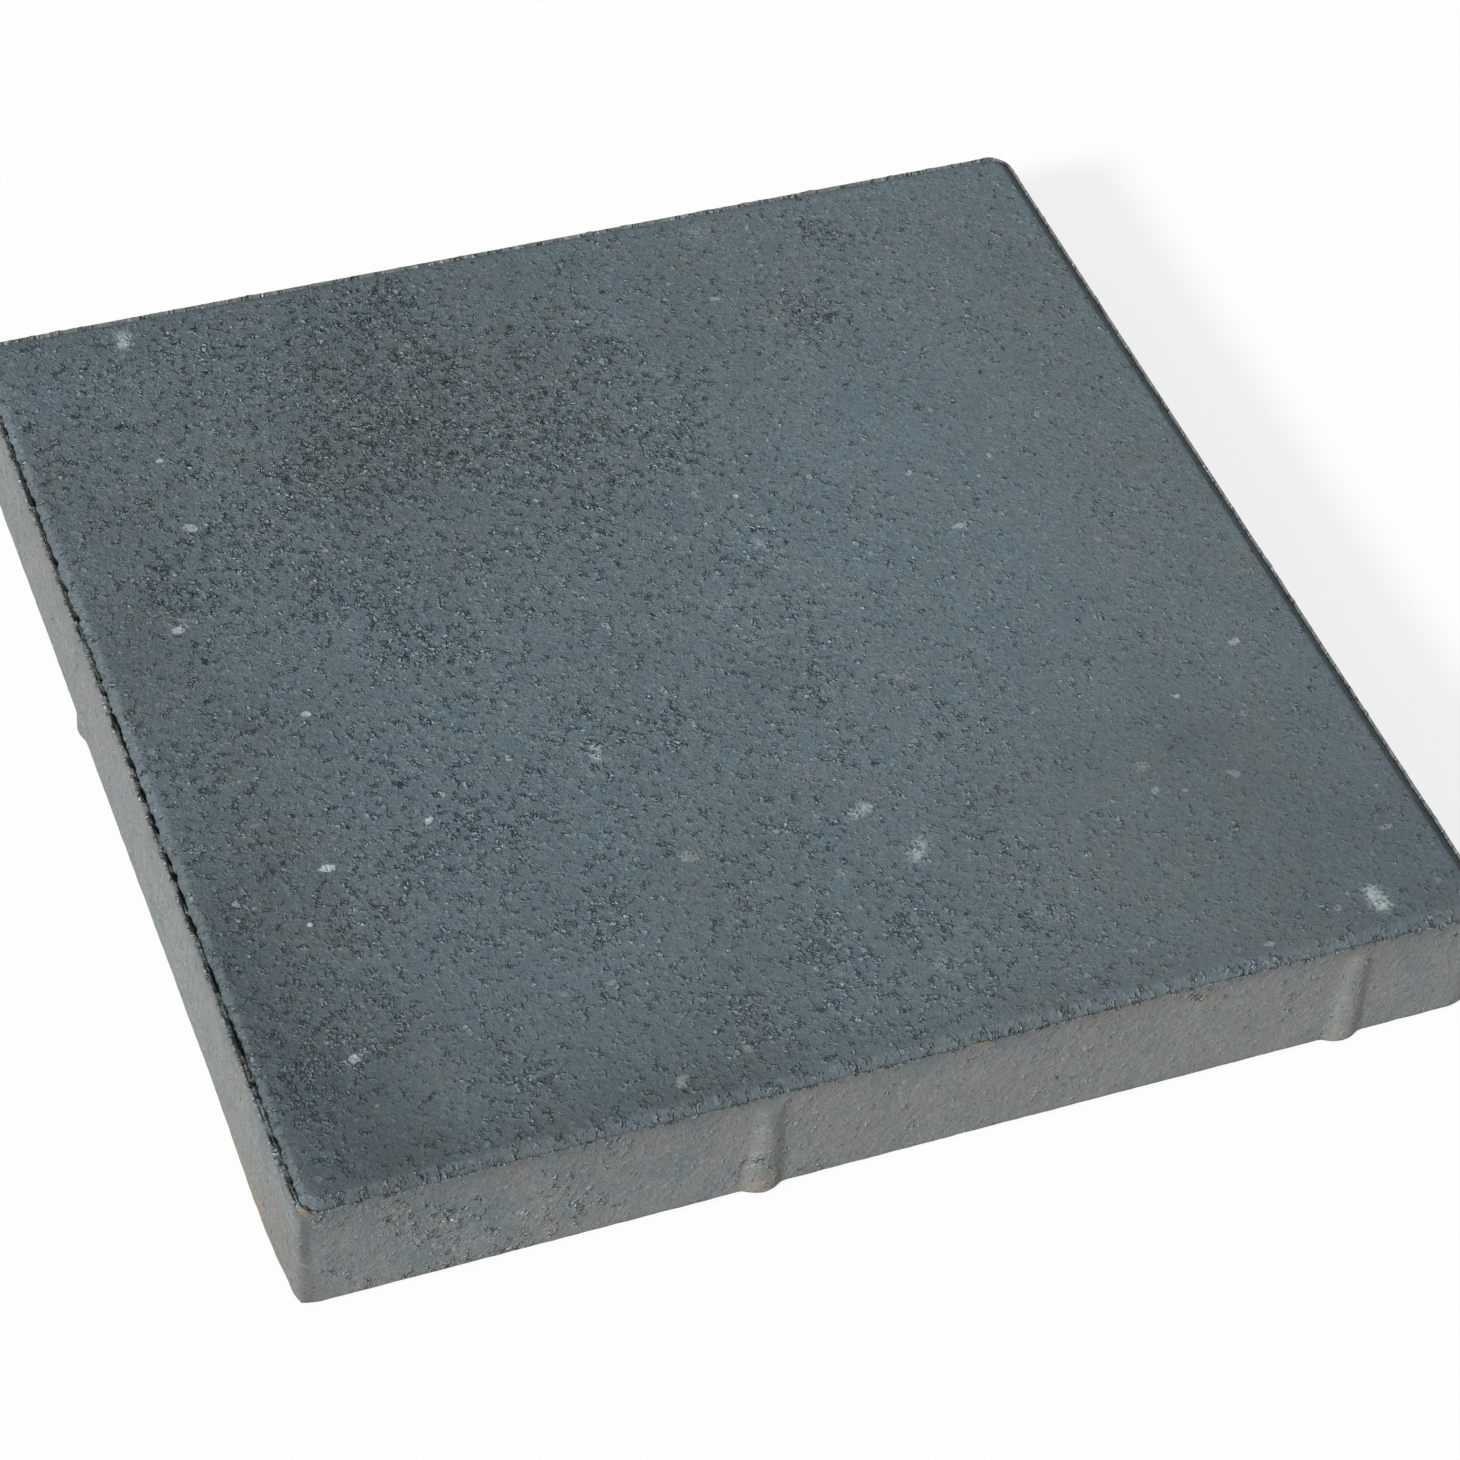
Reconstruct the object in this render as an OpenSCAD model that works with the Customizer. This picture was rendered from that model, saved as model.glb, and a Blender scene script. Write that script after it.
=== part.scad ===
// Pressed concrete paving slab with a chamfered walking edge and spacer nibs.
// The origin is at the centre of the bed, the face that lies on the ground. +Z points up
// to the walking face, X runs along the length and Y along the width.

/* [Slab] */
// Length along X, between the two end faces and without the nibs
slab_length = 400; // [240:5:600]
// Width along Y, between the front and back faces and without the nibs
slab_width = 400; // [240:5:600]
// Thickness from the bed up to the walking face
slab_thickness = 48; // [30:1:100]
// Radius of the four upright corners
corner_radius = 8; // [6:0.5:20]

/* [Walking edge] */
// How far the chamfer reaches in over the walking face
chamfer_run = 3.5; // [1:0.25:4]
// How far the chamfer drops below the walking face
chamfer_drop = 2.5; // [1:0.25:6]
// Width of the flat ledge outside the chamfer, left by the stamp's clearance in the mould
ledge_width = 1.5; // [0.5:0.25:1.75]

/* [Spacer nibs] */
// Width of a nib's round where it leaves the side face, at the foot
nib_width = 12; // [8:0.5:14]
// How far a nib stands out from the side face at its foot
nib_foot_proud = 2.5; // [1.75:0.25:4]
// How far a nib stands out where its head begins
nib_head_proud = 1.25; // [0.75:0.25:1.5]
// Radius of the hollow fillet along each flank of a nib
nib_fillet = 4; // [1:0.5:6]
// Height of the rounded head in which a nib dies into the side face
nib_head = 4; // [2:0.5:6]
// Plain stretch of side face between a nib's head and the ledge
nib_top_gap = 4; // [2:0.5:6]
// Distance from the left end of each of the four sides to its first nib
nib_from_left = 150; // [40:5:160]
// Distance from the right end of the front and the back side to their second nib
nib_from_right = 48; // [30:2:60]

/* [Hidden] */
$fn = 96;

// Height of the ledge, where the side faces end
ledge_z = slab_thickness - chamfer_drop;
// Height at which a nib's head begins
head_z = ledge_z - nib_top_gap - nib_head;
// Lean of a nib, so that it stands out less and less on its way up
nib_lean = atan((nib_foot_proud - nib_head_proud) / head_z);
// Radius of a nib's round, from its width and rise at the foot
nib_radius = (pow(nib_width / 2, 2) + pow(nib_foot_proud, 2)) / (2 * nib_foot_proud);
// Height at which the arc of the head is upright, and how far under the side face its
// centre lies, so that it passes through the start and the end of the head
arc_z = head_z - nib_head;
arc_depth = (3 * pow(nib_head, 2) - pow(nib_head_proud, 2)) / (2 * nib_head_proud);
arc_radius = sqrt(pow(arc_depth, 2) + pow(2 * nib_head, 2));
// Small overlap of a fillet with the round and the side face, so that they meet at an edge
blend = 0.05;
// Depth to which a nib is rooted in the slab
nib_root = 3;

// Length of side number k, and the distance of that side from the centre
function side_length(k) = k % 2 == 0 ? slab_length : slab_width;
function side_offset(k) = (k % 2 == 0 ? slab_width : slab_length) / 2;

// Distances of the nibs of side number k from its left end: two nibs on the front and on
// the back side, one on each end face
function nib_places(k) = k % 2 == 0
    ? [nib_from_left, side_length(k) - nib_from_right]
    : [nib_from_left];

// Half section of the rim: bed, side face, ledge, chamfer and walking face.
// x is measured outwards from the centre of a corner's round.
module rim_section() {
    ledge_x = corner_radius - ledge_width;
    polygon([
        [0, 0],
        [corner_radius, 0],
        [corner_radius, ledge_z],
        [ledge_x, ledge_z],
        [ledge_x - chamfer_run, slab_thickness],
        [0, slab_thickness]
    ]);
}

// The rim carried straight along side number k
module straight_rim(k) {
    run = side_length(k) - 2 * corner_radius;
    rotate(90 * k)
        translate([-run / 2, corner_radius - side_offset(k), 0])
            rotate([90, 0, 90])
                mirror([1, 0, 0])
                    linear_extrude(run)
                        rim_section();
}

// The rim turned a quarter round the corner at the right end of side number k
module corner_rim(k) {
    rotate(90 * k)
        translate([side_length(k) / 2 - corner_radius, corner_radius - side_offset(k), 0])
            rotate(-90)
                rotate_extrude(angle = 90)
                    rim_section();
}

// Middle of the slab, which the rim closes all round
module core() {
    translate([corner_radius - slab_length / 2, corner_radius - slab_width / 2, 0])
        cube([slab_length - 2 * corner_radius, slab_width - 2 * corner_radius, slab_thickness]);
}

// Plan of a nib at its foot. The side face is at y = 0 and the nib stands out towards -y.
module nib_plan() {
    round_y = nib_radius - nib_foot_proud;
    fillet_y = blend - nib_fillet;
    reach = nib_radius + nib_fillet - blend;
    fillet_x = sqrt(pow(reach, 2) - pow(round_y - fillet_y, 2));
    // Point between the two centres at which the round passes into the fillet
    share = (nib_radius - blend / 2) / reach;
    join = [fillet_x * share, round_y + (fillet_y - round_y) * share];
    difference() {
        polygon([
            [-fillet_x, nib_root], [-fillet_x, 0], [-join.x, join.y],
            [join.x, join.y], [fillet_x, 0], [fillet_x, nib_root]
        ]);
        for (side = [-1, 1])
            translate([side * fillet_x, fillet_y])
                circle(r = nib_fillet);
    }
    translate([0, round_y])
        circle(r = nib_radius);
}

// Side view of a nib: upright at first, then curving over into the side face.
// x is measured outwards from the side face and y is the height.
module nib_outline() {
    translate([-nib_root, 0])
        square([nib_root + 2 * nib_foot_proud, arc_z]);
    intersection() {
        translate([-arc_depth, arc_z])
            circle(r = arc_radius);
        translate([-nib_root, arc_z])
            square([nib_root + nib_foot_proud, 3 * nib_head]);
    }
}

// One spacer nib, standing out towards -Y from a side face at y = 0, with its axis at x = 0
module nib() {
    half_span = nib_radius + nib_fillet + 1;
    intersection() {
        rotate([-nib_lean, 0, 0])
            translate([0, 0, -nib_root])
                linear_extrude(ledge_z + nib_root)
                    nib_plan();
        rotate([90, 0, -90])
            translate([0, 0, -half_span])
                linear_extrude(2 * half_span)
                    nib_outline();
    }
}

// The nibs of side number k, seen from outside with the slab on its bed
module side_nibs(k) {
    for (x = nib_places(k))
        rotate(90 * k)
            translate([x - side_length(k) / 2, -side_offset(k), 0])
                nib();
}

module slab() {
    color("slategray")
        union() {
            core();
            for (k = [0:3]) {
                straight_rim(k);
                corner_rim(k);
                side_nibs(k);
            }
        }
}

slab();
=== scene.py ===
"""Looks of a pressed concrete paving slab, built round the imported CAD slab.

The slab is one closed skin: the walking face, the chamfer that the stamp pressed, the ragged
groove and fin that the stamp's clearance left, the side faces with their spacer nibs, and the bed.
Lengths in the functions are millimetres. They become metres where the skin is put into its mesh.
"""

import math

import bpy
import numpy as np
from mathutils import Matrix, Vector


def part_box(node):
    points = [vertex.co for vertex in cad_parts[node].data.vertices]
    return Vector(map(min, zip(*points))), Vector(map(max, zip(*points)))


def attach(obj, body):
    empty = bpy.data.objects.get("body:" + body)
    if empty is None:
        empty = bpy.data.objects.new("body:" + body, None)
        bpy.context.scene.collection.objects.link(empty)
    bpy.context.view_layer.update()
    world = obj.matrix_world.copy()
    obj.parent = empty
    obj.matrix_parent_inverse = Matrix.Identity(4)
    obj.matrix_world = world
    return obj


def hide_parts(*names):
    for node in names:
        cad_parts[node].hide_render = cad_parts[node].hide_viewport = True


MM = 0.001

# The rim, as the CAD slab has it
CORNER_RADIUS = 8.0
CHAMFER_RUN = 3.5
CHAMFER_DROP = 2.5
LEDGE_WIDTH = 1.5

# The spacer nibs, as the CAD slab has them; places are along a side, from its middle. The end
# faces carry only the first, which came out of the mould lower than the others.
NIB_PLACES = (-50.0, 152.0)
END_FACE_SHARES = (0.58, 0.0)
NIB_FOOT_PROUD = 2.5
NIB_HEAD_PROUD = 1.25
NIB_RADIUS = 8.45
NIB_HEAD_START = 37.5
NIB_HEAD = 4.0
NIB_FILLET_BLEND = 0.45
NIB_FILLET_END = (9.0, 13.0)

# How much closer the columns of points stand at a nib, and how far round it, in mm
NIB_CROWDING = 0.7
NIB_SURROUNDINGS = 9.0

# Half the distance between opposite side faces, the height of the outer arris, and the heights
# of the side faces' rings of points from there down
FACE_HALF = 200.0
ARRIS_HEIGHT = 45.5
SIDE_HEIGHTS = (44.3, 43.0, 41.7, 40.7, 39.7, 38.7, 37.6, 36.0, 33.6, 30.8, 27.8, 24.8, 21.8, 18.8,
                15.8, 12.8, 9.8, 6.8, 4.4, 2.6, 1.3)

# How far the stamp came down off centre, towards +X and -Y
STAMP_SHIFT = np.array([0.15, -0.5])

# Squares of the walking face along one side, and how many of them lie in the two corners
FACE_SQUARES = 216
CORNER_SQUARES = 8

# How far outside a grain's outline points still know it, in mm. No triangle of the walking face
# is longer.
GRAIN_MARGIN = 2.9

# Added to the seed of every random draw
SEED = 4


# ---------------------------------------------------------------- numbers shared by the surfaces


def smooth_noise(points, cell, seed):
    """Random values from -1 to 1 at the corners of cubes `cell` wide, blended across each cube
    with 3t^2 - 2t^3 along X, Y and Z in turn."""
    rng = np.random.default_rng(SEED + seed)
    values = rng.uniform(-1.0, 1.0, 1024)
    order = rng.permutation(1024)
    place = np.asarray(points, float) / cell + 500.0
    base = np.floor(place).astype(np.int64)
    t = place - base
    t = t * t * (3.0 - 2.0 * t)
    total = np.zeros(len(place))
    for corner in np.ndindex(2, 2, 2):
        i, j, k = (base + np.array(corner)).T
        value = values[(order[(order[i % 1024] + j) % 1024] + k) % 1024]
        share = np.prod(np.where(np.array(corner) == 1, t, 1.0 - t), axis=1)
        total += value * share
    return total


def layered_noise(points, cell, seed, layers=3, fade=0.55):
    """Sum of smooth_noise over `layers` sizes, each half as wide and `fade` as strong as the last
    and turned on about Z, so that the cubes of no two sizes lie alike."""
    total = np.zeros(len(points))
    strength = 1.0
    whole = 0.0
    for layer in range(layers):
        cosine, sine = math.cos(0.6 + 0.9 * layer), math.sin(0.6 + 0.9 * layer)
        turned = points @ np.array([[cosine, sine, 0.0], [-sine, cosine, 0.0], [0.0, 0.0, 1.0]])
        total += strength * smooth_noise(turned, cell / 2**layer, seed + 17 * layer)
        whole += strength
        strength *= fade
    return total / whole


def step_up(value, low, high):
    """0 below `low`, 1 above `high`, and 3t^2 - 2t^3 between them."""
    t = np.clip((value - low) / (high - low), 0.0, 1.0)
    return t * t * (3.0 - 2.0 * t)


def step_down(value, low, high):
    """1 below `low` and 0 above `high`, as 1 - step_up."""
    return 1.0 - step_up(value, low, high)


def bell(distance, radius):
    """exp(-(distance / radius)^2), which is 1 in the middle."""
    return np.exp(-((distance / radius) ** 2))


def soft_blobs(points, blobs):
    """Sum of round hills, each a bell of (x, y, radius, height) of `blobs`."""
    total = np.zeros(len(points))
    for x, y, radius, height in blobs:
        squared = (points[:, 0] - x) ** 2 + (points[:, 1] - y) ** 2
        total += height * np.exp(-squared / radius**2)
    return total


def pits(across, up, wanted, radii, depths, seed, crowding):
    """Depth of scattered pits at the points (across, up), the deepest where several overlap.

    A pit is an ellipse turned at random. Its depth falls from the middle as (1 - q^2)^1.5, where q
    is the distance from the middle over the radius in that direction. Both coordinates are bent
    by noise first, so that no outline is regular. Pits are kept where `crowding` is high."""
    rng = np.random.default_rng(SEED + seed)
    flat = np.column_stack([across, up, np.zeros(len(across))])
    bend = 0.35 * radii[1]
    bent_across = across + bend * smooth_noise(flat, 1.6 * radii[1], seed + 1)
    bent_up = up + bend * smooth_noise(flat, 1.6 * radii[1], seed + 2)
    picked = rng.integers(0, len(across), wanted * 4)
    picked = picked[rng.uniform(0.0, 1.0, len(picked)) < crowding[picked]][:wanted]
    middle_across = across[picked] + rng.uniform(-1.0, 1.0, len(picked))
    middle_up = up[picked] + rng.uniform(-1.0, 1.0, len(picked))
    size = rng.uniform(0.0, 1.0, len(picked)) ** 2
    radius = radii[0] + (radii[1] - radii[0]) * size
    depth = (depths[0] + (depths[1] - depths[0]) * size) * rng.uniform(0.6, 1.0, len(picked))
    turn = rng.uniform(0.0, math.pi, len(picked))
    slim = rng.uniform(0.4, 1.0, len(picked))
    deepest = np.zeros(len(across))
    for group in np.array_split(np.arange(len(picked)), max(1, len(picked) // 60)):
        right = bent_across[:, None] - middle_across[group]
        high = bent_up[:, None] - middle_up[group]
        cosine, sine = np.cos(turn[group]), np.sin(turn[group])
        long_way = (right * cosine + high * sine) / radius[group]
        short_way = (high * cosine - right * sine) / (radius[group] * slim[group])
        hollow = np.clip(1.0 - long_way**2 - short_way**2, 0.0, None) ** 1.5
        deepest = np.maximum(deepest, (hollow * depth[group]).max(axis=1))
    return deepest


# What a point with no grain near it carries
NO_GRAIN = (0.0, 0.0, 9.0)


def nearest_grains(across, up, grains):
    """Place of each point (across, up) from the middle of the nearest grain, with the grain's half
    length and half width as the units, and the grain's kind.

    The place is (u, v, 0) up to GRAIN_MARGIN outside the grain, and NO_GRAIN further off. It is
    linear in between, so that the length of (u, v, 0) is 1 along the grain's outline."""
    x, y, half_length, half_width, turn, kind = np.asarray(grains, float).T
    cosine, sine = np.cos(np.radians(turn)), np.sin(np.radians(turn))
    best = np.full(len(across), np.inf)
    found = np.tile(NO_GRAIN, (len(across), 1))
    found_kind = np.zeros(len(across))
    for group in np.array_split(np.arange(len(x)), max(1, len(x) // 40)):
        right = across[:, None] - x[group]
        high = up[:, None] - y[group]
        gap = np.hypot(right, high) - half_length[group]
        nearest = gap.argmin(axis=1)
        row = np.arange(len(across))
        gap, right, high = gap[row, nearest], right[row, nearest], high[row, nearest]
        chosen = group[nearest]
        closer = (gap < best) & (gap < GRAIN_MARGIN)
        best = np.where(closer, gap, best)
        u = (right * cosine[chosen] + high * sine[chosen]) / half_length[chosen]
        v = (high * cosine[chosen] - right * sine[chosen]) / half_width[chosen]
        place = np.column_stack([u, v, np.zeros(len(u))])
        found = np.where(closer[:, None], place, found)
        found_kind = np.where(closer, kind[chosen], found_kind)
    return found, found_kind


def scattered_grains(low, high, wanted, sizes, seed):
    """Grains at random in the rectangle from `low` to `high`. Most are small: the half length is
    the smallest size plus the range times a random number cubed."""
    rng = np.random.default_rng(SEED + seed)
    half_length = sizes[0] + (sizes[1] - sizes[0]) * rng.uniform(0.0, 1.0, wanted) ** 3
    return np.column_stack([
        rng.uniform(low[0], high[0], wanted), rng.uniform(low[1], high[1], wanted), half_length,
        half_length * rng.uniform(0.55, 0.95, wanted), rng.uniform(0.0, 180.0, wanted),
        rng.uniform(0.35, 1.0, wanted)])


# ---------------------------------------------------------------- the skin and its columns


def placed(name, data):
    """An object of `data`, linked to the scene."""
    obj = bpy.data.objects.new(name, data)
    bpy.context.scene.collection.objects.link(obj)
    return obj


class Skin:
    """Points, marks on them and triangles of the slab's closed surface, collected strip by strip.

    `run` and `rise` are a second pair of coordinates for the upright strips: the way round the
    slab and the way up. Each corner of a triangle gets its place on the unrolled skin from them,
    or from X and Y where the strip lies flat."""

    MARKS = ("facing", "open_texture", "hollow", "worn", "warmth", "gloom", "lime", "rust",
             "grain_kind")

    def __init__(self, girth):
        self.girth = girth
        self.points = []
        self.unrolled = []
        self.grains = []
        self.marks = {name: [] for name in self.MARKS}
        self.triangles = []
        self.upright = []
        self.count = 0

    def add(self, points, run=0.0, rise=0.0, grains=NO_GRAIN, **marks):
        """Takes a strip of points, with one number or one per point for each mark, and gives back
        the numbers of its points."""
        size = len(points)
        numbers = np.arange(self.count, self.count + size)
        self.points.append(points)
        self.unrolled.append(np.column_stack([np.broadcast_to(run, size),
                                              np.broadcast_to(rise, size)]))
        self.grains.append(np.broadcast_to(grains, (size, 3)))
        for name in self.MARKS:
            self.marks[name].append(np.broadcast_to(marks.get(name, 0.0), size))
        self.count += size
        return numbers

    def keep(self, triangles, upright):
        self.triangles.append(triangles)
        self.upright.append(np.full(len(triangles), upright))

    def join(self, a, b, upright):
        """Closes the strip from ring `a` to the next ring `b`: with two triangles for each pair of
        points or, where one ring has twice as many, three for each point of the other."""
        if len(a) == len(b):
            next_a, next_b = np.roll(a, -1), np.roll(b, -1)
            strips = ((a, b, next_b), (a, next_b, next_a))
        else:
            few, many = (a, b) if len(a) < len(b) else (b, a)
            next_few = np.roll(few, -1)
            even, odd, next_even = many[0::2], many[1::2], np.roll(many, -2)[0::2]
            strips = ((few, even, odd), (few, odd, next_few), (next_few, odd, next_even))
            if few is b:
                strips = [strip[::-1] for strip in strips]
        for strip in strips:
            self.keep(np.column_stack(strip), upright)

    def ring(self, previous, points, upright, **marks):
        """Adds a ring of points, joins it to the previous one and gives back its numbers."""
        numbers = self.add(points, **marks)
        self.join(previous, numbers, upright)
        return numbers

    def sheet(self, grid, upwards):
        """Squares of a grid of point numbers, split along alternate diagonals."""
        a, b = grid[:-1, :-1].ravel(), grid[1:, :-1].ravel()
        c, d = grid[1:, 1:].ravel(), grid[:-1, 1:].ravel()
        row, column = np.indices((grid.shape[0] - 1, grid.shape[1] - 1))
        even = ((row + column) % 2 == 0).ravel()[:, None]
        first = np.where(even, np.column_stack([a, b, c]), np.column_stack([a, b, d]))
        second = np.where(even, np.column_stack([a, c, d]), np.column_stack([b, c, d]))
        both = np.concatenate([first, second])
        self.keep(both if upwards else both[:, ::-1], False)

    def skin_places(self, triangles):
        """Place of each triangle's corners on the unrolled skin, in mm. A triangle that spans the
        seam, where the way round starts again, has its low corners carried one girth on."""
        points = np.concatenate(self.points)
        unrolled = np.concatenate(self.unrolled)
        upright = np.concatenate(self.upright)[:, None, None]
        places = np.where(upright, unrolled[triangles], points[triangles][:, :, :2])
        run = places[:, :, 0]
        spans = upright[:, 0] & (np.ptp(run, axis=1) > self.girth / 2.0)[:, None]
        places[:, :, 0] = np.where(spans & (run < self.girth / 2.0), run + self.girth, run)
        return places.reshape(-1, 2)

    def piece(self, name):
        """The mesh object, in metres, at the origin."""
        mesh = bpy.data.meshes.new(name)
        points = np.concatenate(self.points) * MM
        triangles = np.concatenate(self.triangles)
        mesh.from_pydata(points.tolist(), [], triangles.tolist())
        for mark, values in self.marks.items():
            attribute = mesh.attributes.new(mark, "FLOAT", "POINT")
            attribute.data.foreach_set("value", np.concatenate(values).astype(np.float32))
        grain = mesh.attributes.new("grain", "FLOAT_VECTOR", "POINT")
        grain.data.foreach_set("vector", np.concatenate(self.grains).astype(np.float32).ravel())
        places = self.skin_places(triangles) * MM
        places = np.column_stack([places, np.zeros(len(places))])
        skin_place = mesh.attributes.new("skin_place", "FLOAT_VECTOR", "CORNER")
        skin_place.data.foreach_set("vector", places.astype(np.float32).ravel())
        mesh.polygons.foreach_set("use_smooth", np.ones(len(triangles), dtype=bool))
        mesh.update()
        return placed(name, mesh)


def side_stations(skeleton_half, squares, corner_squares):
    """Places of the columns along one side, and how far each is turned from the side's own
    direction, in radians. The first and the last lie on the corners' diagonals.

    Along the straight part the columns stand closer together at the nibs: their number grows as
    the integral of 1 + NIB_CROWDING times a bell round each nib. The nibs are taken at both hands,
    so that the stations of opposite sides are the same."""
    straight = squares - corner_squares
    fine = np.linspace(-skeleton_half, skeleton_half, 4001)
    crowd = np.ones_like(fine)
    for place in NIB_PLACES:
        crowd += NIB_CROWDING * bell(fine - place, NIB_SURROUNDINGS)
        crowd += NIB_CROWDING * bell(fine + place, NIB_SURROUNDINGS)
    total = np.concatenate([[0.0], np.cumsum((crowd[1:] + crowd[:-1]) / 2.0)])
    middle = np.interp(np.linspace(0.0, total[-1], straight + 1), total, fine)
    half_corner = corner_squares // 2
    share = np.arange(half_corner, 0, -1) / half_corner
    places = np.concatenate([np.full(half_corner, -skeleton_half), middle,
                             np.full(half_corner, skeleton_half)])
    turns = np.concatenate([-share, np.zeros(straight + 1), share[::-1]]) * math.pi / 4.0
    return places, turns


class Columns:
    """The upright columns round the slab, counted from the corner of the front and left sides
    and running along the front, right, back and left sides.

    `feet` are points of a square through the corners' centres, `outward` the direction in which a
    column's outline is offset from it, `place` the distance along its own side."""

    def __init__(self, places, turns, skeleton_half):
        feet, outward, place, turned = [], [], [], []
        for quarter in range(4):
            along = np.round([math.cos(quarter * math.pi / 2), math.sin(quarter * math.pi / 2)])
            out = np.array([along[1], -along[0]])
            t, turn = places[:-1, None], turns[:-1, None]
            feet.append(t * along + skeleton_half * out)
            outward.append(np.sin(turn) * along + np.cos(turn) * out)
            place.append(places[:-1])
            turned.append(turns[:-1])
        self.feet = np.concatenate(feet)
        self.outward = np.concatenate(outward)
        outline = self.feet + self.outward * CORNER_RADIUS
        steps = np.linalg.norm(np.roll(outline, -1, axis=0) - outline, axis=1)
        self.girth = steps.sum()
        back_corner = len(outline) // 2
        way = np.concatenate([[0.0], np.cumsum(steps)[:-1]])
        self.run = (way - way[back_corner]) % self.girth
        self.place = np.concatenate(place)
        self.turned = np.concatenate(turned)
        self.straight = np.abs(self.turned) < 1e-9
        square = self.outward**2
        self.left = np.where(self.outward[:, 0] < 0.0, square[:, 0], 0.0)
        self.right = np.where(self.outward[:, 0] > 0.0, square[:, 0], 0.0)
        self.front = np.where(self.outward[:, 1] < 0.0, square[:, 1], 0.0)
        self.back = np.where(self.outward[:, 1] > 0.0, square[:, 1], 0.0)
        self.end_face = self.left + self.right > 0.5

    def ring(self, offset, height):
        """Points at `offset` from the square of corner centres and at `height`."""
        flat = self.feet + self.outward * np.broadcast_to(offset, (len(self.feet),))[:, None]
        return np.column_stack([flat, np.broadcast_to(height, (len(flat),))])


def grid_points(places, corner_squares, reach):
    """Points at height 0 of a grid whose border is the outline at offset `reach`, and the offset
    of each, as a table of rows and columns.

    In a corner the square of the grid is carried to a quarter disc: the radius is the larger of
    the two steps, and the angle is 45 degrees times their ratio, from the nearer side."""
    half_corner = corner_squares // 2
    last = len(places) - 1
    index = np.arange(last + 1)
    step = (np.maximum(index - (last - half_corner), 0) - np.maximum(half_corner - index, 0))
    step = step / half_corner
    step_x, step_y = np.meshgrid(step, step, indexing="ij")
    foot_x, foot_y = np.meshgrid(places, places, indexing="ij")
    size_x, size_y = np.abs(step_x), np.abs(step_y)
    larger = np.maximum(size_x, size_y)
    ratio = np.minimum(size_x, size_y) / np.where(larger > 0.0, larger, 1.0)
    angle = np.where(size_x >= size_y, ratio * math.pi / 4.0, (2.0 - ratio) * math.pi / 4.0)
    offset = larger * reach
    x = foot_x + np.sign(step_x) * offset * np.cos(angle)
    y = foot_y + np.sign(step_y) * offset * np.sin(angle)
    return np.column_stack([x.ravel(), y.ravel(), np.zeros(x.size)]), offset


def grid_border(numbers):
    """The numbers of a grid's border points, in the order of the columns."""
    front, right = numbers[:-1, 0], numbers[-1, :-1]
    back, left = numbers[:0:-1, -1], numbers[0, :0:-1]
    return np.concatenate([front, right, back, left])


# ---------------------------------------------------------------- the walking face

# Broad patches of the facing, as (x, y, radius, strength) in mm. Blue ones are washed with paste,
# brown ones show sand, and dark ones are denser.
BLUE_PATCHES = (
    (-120, 5, 55, 0.8), (-60, -70, 65, 0.9), (60, 35, 55, 0.9), (95, 70, 45, 0.6),
    (-95, -145, 40, 0.7), (0, -165, 45, 0.7), (100, -20, 45, 0.5), (-165, 168, 35, 0.6),
    (-10, 20, 45, 0.4), (-190, -35, 18, 0.6), (60, -75, 45, 0.5), (20, 160, 30, 0.3),
    (-60, 60, 30, 0.3), (-120, -60, 40, 0.6),
)
BROWN_PATCHES = (
    (-170, 60, 16, -0.9), (-167, 20, 15, -1.0), (-165, -20, 15, -1.2), (-162, -60, 15, -1.2),
    (-157, -100, 15, -1.2), (-148, -140, 16, -1.2), (-135, -178, 20, -1.0), (-60, 135, 45, -0.9),
    (-90, 105, 35, -0.8), (0, 105, 40, -0.7), (40, 85, 25, -0.5), (85, 130, 22, -0.9),
    (-195, 100, 30, -0.7), (120, -130, 45, -0.7), (60, -150, 35, -0.5), (150, -110, 40, -0.6),
    (-35, -115, 26, -0.6), (170, 20, 50, -0.5), (165, 120, 50, -0.4), (110, -180, 50, -0.5),
    (-20, 75, 25, -0.5), (-180, 10, 20, -0.4),
)
DARK_PATCHES = (
    (-190, -85, 20, 0.8), (-192, -115, 22, 1.0), (-190, -150, 24, 1.0), (-178, -172, 24, 0.8),
    (-110, 180, 35, 0.3), (-50, 185, 45, 0.35), (-60, 120, 60, 0.3), (40, 140, 60, 0.25),
    (134, -103, 9, 0.5), (-190, 30, 20, 0.25), (-85, 60, 45, 0.2), (-70, -175, 60, 0.3),
    (175, -165, 55, 0.6), (-110, -195, 32, 0.5), (-50, -197, 28, 0.4), (-170, -190, 22, 0.5),
)
# Patches in which the stamp lifted the paste and the sand shows: broad ones, then tight ones
OPEN_PATCHES = (
    (-60, 125, 55, 0.30), (-100, 100, 40, 0.25), (0, 110, 40, 0.25), (-125, 60, 40, 0.2),
    (-30, 70, 40, 0.25), (-190, -140, 35, 0.5), (90, 125, 30, 0.3), (-120, -90, 40, 0.2),
    (60, -160, 25, 0.2), (10, -185, 30, 0.2), (-100, 180, 40, 0.25), (110, 185, 25, 0.2),
    (-70, 127, 16, 0.7), (-52, 182, 10, 0.7), (15, 135, 10, 0.7), (-17, 107, 11, 0.7),
    (27, 87, 9, 0.7), (17, 75, 9, 0.7), (97, 132, 12, 0.8), (114, 177, 10, 0.6),
    (-102, 15, 9, 0.7), (-87, 12, 9, 0.6), (-102, 35, 9, 0.7), (-115, 49, 9, 0.6),
    (-167, 64, 10, 0.6), (-75, -117, 11, 0.7), (-16, -149, 11, 1.0), (15, -150, 9, 0.8),
    (-45, -170, 10, 0.6), (-120, -172, 10, 0.5), (-105, -67, 9, 0.5), (-165, -66, 9, 0.5),
)
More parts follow.
